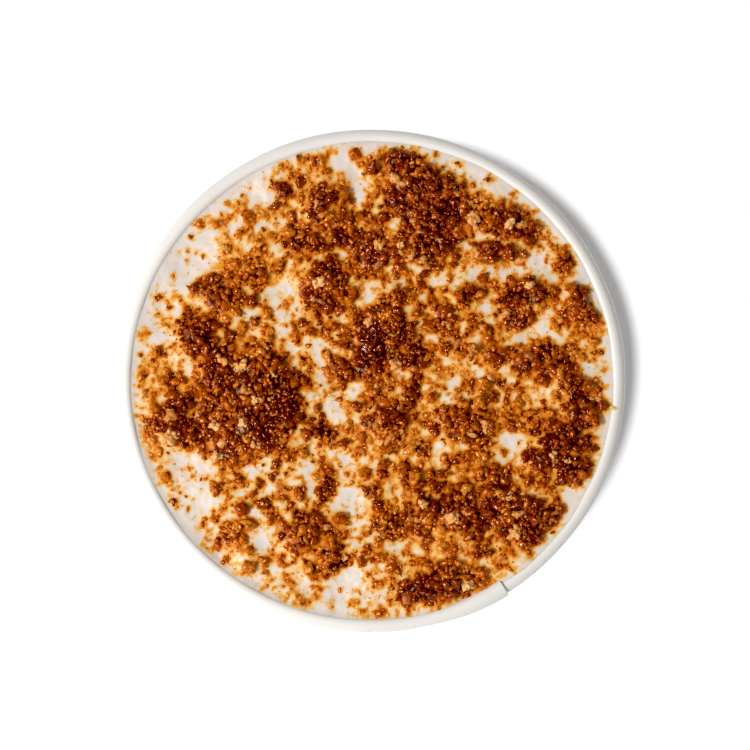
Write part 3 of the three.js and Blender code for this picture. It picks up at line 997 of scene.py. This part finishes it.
def makeSugarMaterial(name, look):
    # caramelised sugar, melted and set: glassy amber to brown, lit in its thin edges by light inside it and
    # by painted glow in its tone, small glints
    material, tree = startMaterial(name)
    place = addNode(tree, "ShaderNodeTexCoord").outputs["Object"]
    tone = addNode(tree, "ShaderNodeAttribute", props={"attribute_name": "tone"}).outputs["Fac"]
    mottle = addNode(tree, "ShaderNodeTexNoise", links={"Vector": place},
                     values={"Scale": 1 / (look["mottle"] * mm), "Detail": 2})
    granules = addNode(tree, "ShaderNodeTexVoronoi", props={"feature": "SMOOTH_F1"},
                       values={"Scale": 1 / (look["granule"] * mm), "Smoothness": look["granuleMelt"]},
                       links={"Vector": place})
    shifted = addNode(tree, "ShaderNodeMath", props={"operation": "MULTIPLY_ADD"},
                      values={1: look["mottleShare"]}, links={0: mottle, 2: tone})
    centred = addNode(tree, "ShaderNodeMath", props={"operation": "SUBTRACT"},
                      values={1: look["mottleShare"] / 2}, links={0: shifted})
    ramp = addNode(tree, "ShaderNodeValToRGB", links={"Fac": centred})
    setRamp(ramp, look["stops"])
    bump = addNode(tree, "ShaderNodeBump", props={"invert": True},
                   values={"Strength": look["bumpStrength"], "Distance": look["granuleBump"] * mm},
                   links={"Height": granules})
    gloss = addNode(tree, "ShaderNodeMapRange", values=mapValues(look["glossTones"], look["roughness"]),
                    links={"Value": centred})
    shader = addNode(tree, "ShaderNodeBsdfPrincipled", values={
        "IOR": look["ior"], "Specular IOR Level": look["shine"],
        "Specular Tint": linear(look["sheenColour"]),
        "Coat Weight": look["wet"], "Coat Roughness": look["wetRoughness"], "Coat IOR": look["ior"],
        "Subsurface Weight": look["glow"], "Subsurface Scale": look["glowDepth"] * mm,
        "Subsurface Radius": look["glowColour"],
    }, links={"Base Color": ramp, "Roughness": gloss, "Normal": bump})
    addNode(tree, "ShaderNodeOutputMaterial", links={"Surface": shader})
    return material


# dust of the same sugar, too small for granules or a film
dustLook = dict(sugarLook, stops=[(0.0, "f4b640"), (0.3, "e0961e"), (0.6, "a04c08"), (1.0, "401000")],
                granuleBump=0.04, glow=0.0, wet=0.0)

# sugar that hasn't melted: paler, duller and denser
paleLook = dict(sugarLook, stops=[(0.0, "fcc684"), (0.3, "eea45a"), (0.6, "d07c38"), (1.0, "8a4416")],
                granule=0.5, roughness=(0.5, 0.4), shine=0.5, glow=0.2)

burntMaterial = makeSugarMaterial("caramelisedSugar", sugarLook)
dustMaterial = makeSugarMaterial("meltedSugarDust", dustLook)
paleMaterial = makeSugarMaterial("unmeltedSugarCrumb", paleLook)


def grainsOf(kind):
    return [grain for grain in allGrains if grain[5] == kind]


rounded = [grain for grain in grainsOf("small") if grain[3] >= shapes["crumbsBelow"]]
crumbs = [grain for grain in grainsOf("small") if grain[3] < shapes["crumbsBelow"]]
dark = [grain for grain in rounded if grain[4] > tones["darkPiece"]]
amber = [grain for grain in rounded if grain[4] <= tones["darkPiece"]]
sugarPieces = [
    # name, grains, divisions of the ball, seed, form, material, slot, and whether it casts a shadow:
    # light comes through the lighter and the smallest sugar
    ("burntGrainsLarge", grainsOf("large"), 3, 100, burntForm, burntMaterial, "burnt_sugar", True),
    ("burntGrainsDark", dark, 2, 200, burntForm, burntMaterial, "burnt_sugar", True),
    ("burntGrainsAmber", amber, 2, 400, burntForm, burntMaterial, "burnt_sugar", False),
    ("burntCrumbs", crumbs, 1, 450, burntForm, burntMaterial, "burnt_sugar", False),
    ("burntSpecks", allSpecks, 1, 500, burntForm, dustMaterial, "burnt_sugar", False),
    ("paleSugarCrumbs", grainsOf("pale"), 4, 600, paleForm, paleMaterial, "pale_sugar", True),
    ("goldenSugarGrains", grainsOf("gold"), 2, 650, burntForm, paleMaterial, "pale_sugar", False),
]
for name, grains, divisions, seed, form, material, slotName, castsShadow in sugarPieces:
    mesh = grainMesh(name, grains, divisions, seed, form)
    piece = addPiece(name, mesh, material)
    piece.visible_shadow = castsShadow
    print(name, len(grains), "grains", len(mesh.polygons), "faces")


# Vanilla seeds in the cream, and one drop of syrup that has run up on the bead

seeds = {
    "places": [(38.6, 2.3), (39.6, 2.0), (38, 0.8), (39.6, 0.8), (40.6, 0.7), (16.5, 35.1),
               (10.3, 39.7), (11, 39.2)],
    "size": 0.26,
    "above": 0.05,  # their middles lie this far above the cream
    "seed": 700,
    "surface": {"Base Color": linear("5c4c40"), "Roughness": 0.6, "IOR": 1.45},
    "form": {"flatness": 0.7, "uneven": 0.4, "rough": 0.3},
}
drop = {
    "place": (42.85, -4.8, 60.0),
    "size": 1.1,
    "seed": 800,
    "surface": {"Base Color": linear("e6d468"), "Roughness": 0.15, "IOR": 1.45, "Coat Weight": 1,
                "Coat Roughness": 0.08},
    "form": {"flatness": 0.55, "uneven": 0.4, "rough": 0.3},
}


# dried seeds, dark and dull, and a drop of thin golden syrup, wet and smooth
seedGrains = [(x, y, float(creamSurface(x, y)) + seeds["above"], seeds["size"], 0)
              for x, y in seeds["places"]]
addPiece("vanillaSeeds", grainMesh("vanillaSeeds", seedGrains, 1, seeds["seed"], seeds["form"]),
         makePlainMaterial("driedVanillaSeed", seeds["surface"]))
dropGrain = [(*drop["place"], drop["size"], 0)]
addPiece("syrupDrop", grainMesh("syrupDrop", dropGrain, 3, drop["seed"], drop["form"]),
         makePlainMaterial("goldenSyrup", drop["surface"]))
print("the vanilla seeds and the drop of syrup are made")


# The cream, with the caramel that has bled into it, and painted shade and glow round the grains

stainAndPaintedLight = {
    # what each thing adds to the stain and its painted shade and glow, where 1 is burnt sugar
    "under": 0.54,  # right under a grain
    "underWidth": 0.3,
    "around": 0.12,
    "aroundWidth": 0.7,
    # partly dark melted syrup and partly painted shade between the grains of a drift
    "onDrift": 0.4,
    "film": 0.22,  # a thin film of melted sugar between the grains, in patches
    "fineFilm": 0.8,
    "filmFrom": 0.2,
    "filmBand": 1.2,
    "filmNear": (0.15, 0.4),  # it begins and is full at this much sugar around
    "spots": 0.34,  # single melted granules
    "spotsFrom": 0.6,
    "spotsBand": 0.6,
    "spotsNear": (0.01, 0.2),
    "clear": 0.02,  # this little is not seen
    "paintedGlowShiftX": 0.12,  # painted light: the stain is moved this much away from the key, painting the glow through the grains into their shadows
    "paintedGlowShiftY": 0.05,
}


def discPoint(a, b):
    # a square's point moved so that the square becomes a disc and its cells stay equal
    if a == 0 and b == 0:
        return 0, 0
    if abs(a) > abs(b):
        return a, math.pi / 4 * b / a
    return b, math.pi / 2 - math.pi / 4 * a / b


def makeCream():
    floorZ = cup["baseHeight"] + cup["paper"] + cup["gap"]
    sideHeights = (*cream["sideRings"], floorZ + cream["corner"])
    side = [(wallInside(z) - cup["gap"] / 2, z) for z in sideHeights]
    side += [(wallInside(floorZ) - cream["corner"], floorZ)]
    bm = bmesh.new()
    bmesh.ops.create_grid(bm, x_segments=cream["cells"], y_segments=cream["cells"], size=1)
    for vert in bm.verts:
        reach, turn = discPoint(vert.co.x, vert.co.y)
        radius = reach * mouthRadius * mm
        vert.co = (radius * math.cos(turn), radius * math.sin(turn), cream["level"] * mm)
    topCount = len(bm.verts)
    ring = [edge for edge in bm.edges if edge.is_boundary]
    for radius, z in side:
        grown = bmesh.ops.extrude_edge_only(bm, edges=ring)["geom"]
        ring = [item for item in grown if isinstance(item, bmesh.types.BMEdge)]
        for vert in [item for item in grown if isinstance(item, bmesh.types.BMVert)]:
            outward = vert.co.to_2d().normalized() * radius * mm
            vert.co = (outward.x, outward.y, z * mm)
    bmesh.ops.edgeloop_fill(bm, edges=ring)
    bmesh.ops.recalc_face_normals(bm, faces=bm.faces)
    mesh = takeMesh("custardCream", bm)

    # the surface swells between the grains, and syrup stands in the drifts
    radius, turn, z = readPoints(mesh)
    onTop = np.arange(len(mesh.vertices)) < topCount
    radius = radius * roundness(turn, z)
    x, y = radius * np.cos(np.radians(turn)), radius * np.sin(np.radians(turn))
    near, around = blurMap(covered, stainAndPaintedLight["underWidth"]), blurMap(covered, stainAndPaintedLight["aroundWidth"])
    heaped = blurMap(heapMap * covered, stainAndPaintedLight["aroundWidth"])
    relief = cream["lump"] * patchMap("lump") + cream["grit"] * patchMap("grit") + cream["wetting"] * near
    syrup = cream["syrup"] * (blurMap(heights, cream["syrupWidth"]) - surfaceMap)
    syrup = np.maximum(syrup, 0) + cream["syrupWave"] * patchMap("syrup")
    relief += syrup * smooth(heaped, cream["syrupFrom"], cream["syrupBand"])
    share = radius / mouthRadius
    rim = 1 - smooth(share, cream["edgeFrom"], cream["edgeBand"])
    surface = creamSurface(x, y) + readMap(relief, x, y) * rim

    # the edge climbs the bead's inner slope, highest at the smear
    toSmear = np.mod(turn - cream["smearTurn"] + 180, 360) - 180
    smear = np.exp(-(toSmear / cream["smearWidth"]) ** 2)
    smear = smear * smooth(share, cream["smearFrom"], cream["smearBand"])
    wetted = np.clip((share - cream["edgeFrom"]) / cream["edgeBand"], 0, 1) ** 2
    lean = 1 + cream["meniscusLean"] * np.cos(np.radians(turn - cream["meniscusTurn"]))
    surface = surface + smear * cream["smearRise"] + wetted * cream["meniscus"] * lean
    radius = radius + np.where(onTop, wetted * (beadInside(surface) - mouthRadius + cream["edgeOver"]), 0)
    z = np.where(onTop, surface, z)
    writePoints(mesh, radius, turn, z, cream["sharpAngle"])

    # painted light: the stain is moved away from the key, so its orange is painted into the grains' shadows
    # as the glow of light that comes through them
    spotted = smooth(patchMap("spots"), stainAndPaintedLight["spotsFrom"], stainAndPaintedLight["spotsBand"])
    spotted = spotted * smooth(around, *stainAndPaintedLight["spotsNear"])
    film = patchMap("film") + stainAndPaintedLight["fineFilm"] * patchMap("fineFilm")
    film = smooth(film, stainAndPaintedLight["filmFrom"], stainAndPaintedLight["filmBand"]) * smooth(around, *stainAndPaintedLight["filmNear"])
    values = stainAndPaintedLight["under"] * near + stainAndPaintedLight["around"] * around + stainAndPaintedLight["film"] * film
    values = values + stainAndPaintedLight["onDrift"] * heaped + stainAndPaintedLight["spots"] * spotted - stainAndPaintedLight["clear"]
    shiftedStainAndGlow = readMap(values, x - stainAndPaintedLight["paintedGlowShiftX"], y - stainAndPaintedLight["paintedGlowShiftY"])
    # the stain attribute carries the bled caramel together with the painted glow and the painted shade
    stainedAndPaintedLight = mesh.attributes.new("stainAndPaintedLight", "FLOAT", "POINT")
    stainedAndPaintedLight.data.foreach_set("value", np.where(onTop, np.clip(shiftedStainAndGlow, 0, 1), 0))
    return mesh


creamLook = {
    "stops": [(0.0, "ece1d9"), (0.06, "f0dcc6"), (0.18, "f3cd94"), (0.34, "f0ab48"), (0.54, "da7d22"),
              (0.72, "aa4c0a"), (0.88, "6c2004"), (1.0, "400c00")],
    "patch": 0.9,
    "patchShare": 0.4,
    "grain": 0.5,
    "bumpStrength": 0.6,
    "melted": (0.3, 0.75),  # where melted sugar begins to cover the cream, and covers it all
    "bump": (0.04 * mm, 0.14 * mm),  # of clean cream and of melted sugar
    "roughness": (0.34, 0.27),
    "surface": {
        "IOR": 1.45, "Specular Tint": linear("ffd2a6"),
        "Subsurface Weight": 0.4, "Subsurface Scale": 1.4 * mm, "Subsurface Radius": (1, 0.8, 0.6),
    },
}


def makeCreamMaterial():
    # cooked cream: dense, faintly glossy, light goes about a millimetre in, amber where sugar has bled,
    # with the painted shade and glow that the stain attribute also carries
    material, tree = startMaterial("bakedCustardCream")
    place = addNode(tree, "ShaderNodeTexCoord").outputs["Object"]
    stainedAndPaintedLight = addNode(tree, "ShaderNodeAttribute", props={"attribute_name": "stainAndPaintedLight"}).outputs["Fac"]
    patch, fine = [addNode(tree, "ShaderNodeTexNoise", links={"Vector": place},
                           values={"Scale": 1 / (creamLook[size] * mm), "Detail": 3})
                   for size in ("patch", "grain")]
    centred = addNode(tree, "ShaderNodeMath", props={"operation": "SUBTRACT"}, values={1: 0.5},
                      links={0: patch})
    shifted = addNode(tree, "ShaderNodeMath", props={"operation": "MULTIPLY_ADD"},
                      values={1: creamLook["patchShare"]}, links={0: centred, 2: stainedAndPaintedLight})
    ramp = addNode(tree, "ShaderNodeValToRGB", links={"Fac": shifted})
    setRamp(ramp, creamLook["stops"])
    depth, gloss = [addNode(tree, "ShaderNodeMapRange", links={"Value": shifted},
                            values=mapValues(creamLook["melted"], creamLook[amount]))
                    for amount in ("bump", "roughness")]
    bump = addNode(tree, "ShaderNodeBump", values={"Strength": creamLook["bumpStrength"]},
                   links={"Height": fine, "Distance": depth})
    shader = addNode(tree, "ShaderNodeBsdfPrincipled", values=creamLook["surface"],
                     links={"Base Color": ramp, "Roughness": gloss, "Normal": bump})
    addNode(tree, "ShaderNodeOutputMaterial", links={"Surface": shader})
    return material


creamPiece = addPiece("custardCream", makeCream(), makeCreamMaterial())
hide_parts("cream")
print("the cream is made,", len(creamPiece.data.polygons), "faces")
